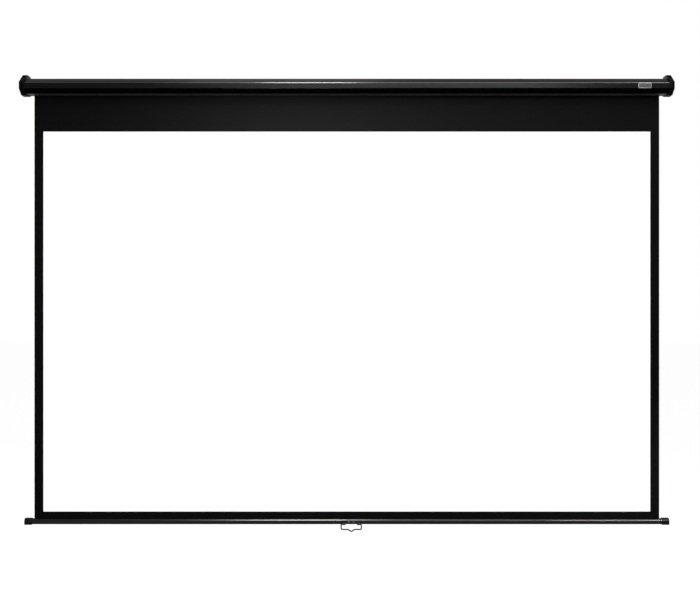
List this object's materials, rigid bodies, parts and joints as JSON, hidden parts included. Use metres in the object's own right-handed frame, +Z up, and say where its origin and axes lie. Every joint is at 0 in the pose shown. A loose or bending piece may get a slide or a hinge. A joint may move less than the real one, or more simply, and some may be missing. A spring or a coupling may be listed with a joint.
{
  "type": "pull-down projector screen",
  "caption": "Wall-hung pull-down projection screen: slim housing with end caps and ears, spring roller, wide matte sheet with black border, weighted bottom bar and wire pull handle.",
  "frame": {"origin": "on the wall plane, at the middle of the case's length, on the case's flat back", "axes": "+X along the case to the viewer's right, +Y into the wall, +Z up; the sheet's front faces -Y"},
  "size_m": [2.15, 0.0691, 1.5168],
  "materials": {
    "case_paint": "aluminium section, satin black powder coat",
    "cap_plastic": "moulded black ABS, fine satin texture",
    "bar_paint": "aluminium section, satin black powder coat",
    "bar_plastic": "moulded black plastic, matte",
    "black_sheet": "black-backed coated screen fabric, matte",
    "white_sheet": "matte white diffusing projection coating",
    "tube_steel": "thin galvanised steel tube",
    "zinc_steel": "zinc-plated steel",
    "spring_steel": "oiled spring wire",
    "nylon": "natural nylon",
    "black_screw": "black oxide steel",
    "handle_steel": "black coated steel wire and pressed plate",
    "rod_plastic": "extruded plastic rod"
  },
  "bodies": {
    "case": {"case_shell": "case_paint", "end_cap_left": "cap_plastic", "end_cap_right": "cap_plastic", "cap_screw_left_1": "black_screw", "cap_screw_left_2": "black_screw", "cap_screw_left_3": "black_screw", "cap_screw_right_1": "black_screw", "cap_screw_right_2": "black_screw", "cap_screw_right_3": "black_screw", "roller_bracket_left": "zinc_steel", "roller_bracket_right": "zinc_steel", "spindle": "zinc_steel", "ratchet_hub": "zinc_steel", "spring_collar": "nylon", "idle_bush": "nylon", "carrier_sheet": "black_sheet", "viewing_surface": "white_sheet"},
    "roller": {"roller_tube": "tube_steel", "spring_end_plug": "nylon", "pawl_pin_upper": "zinc_steel", "pawl_pin_lower": "zinc_steel", "counter_spring": "spring_steel", "drive_plug": "nylon", "idle_end_plug": "nylon", "idle_pin": "zinc_steel", "wound_sheet": "black_sheet"},
    "pawl_upper_body": {"pawl_upper": "zinc_steel"},
    "pawl_lower_body": {"pawl_lower": "zinc_steel"},
    "weight_bar": {"weight_bar_section": "bar_paint", "bar_cap_left": "bar_plastic", "bar_cap_right": "bar_plastic", "hem_rod": "rod_plastic", "handle_bracket": "handle_steel", "handle_screw_left": "black_screw", "handle_screw_right": "black_screw"},
    "handle": {"bail": "handle_steel"}
  },
  "joints": [
    {"name": "bar_travel", "type": "slide", "parent": "case", "child": "weight_bar", "axis": [0, 0, 1], "range_m": [0, 1.4], "deforming": ["carrier_sheet", "viewing_surface"]},
    {"name": "roller_turn", "type": "hinge", "parent": "case", "child": "roller", "pos_m": [0, -0.03405, 0.0015], "axis": [1, 0, 0], "range_deg": [0, 3960], "deforming": ["counter_spring"]},
    {"name": "pawl_upper_swing", "type": "hinge", "parent": "roller", "child": "pawl_upper_body", "pos_m": [-1.0583, -0.02483, 0.0098], "axis": [-1, 0, 0], "range_deg": [-13.8, 20]},
    {"name": "pawl_lower_swing", "type": "hinge", "parent": "roller", "child": "pawl_lower_body", "pos_m": [-1.0583, -0.04326, -0.0068], "axis": [-1, 0, 0], "range_deg": [-13.8, 20]},
    {"name": "handle_swing", "type": "hinge", "parent": "weight_bar", "child": "handle", "pos_m": [0.0147, -0.0272, -1.449], "axis": [-1, 0, 0], "range_deg": [-45, 120]}
  ],
  "couplings": [
    {"joint": "roller_turn", "follows": "bar_travel", "rad_per_m": 49.368}
  ]
}
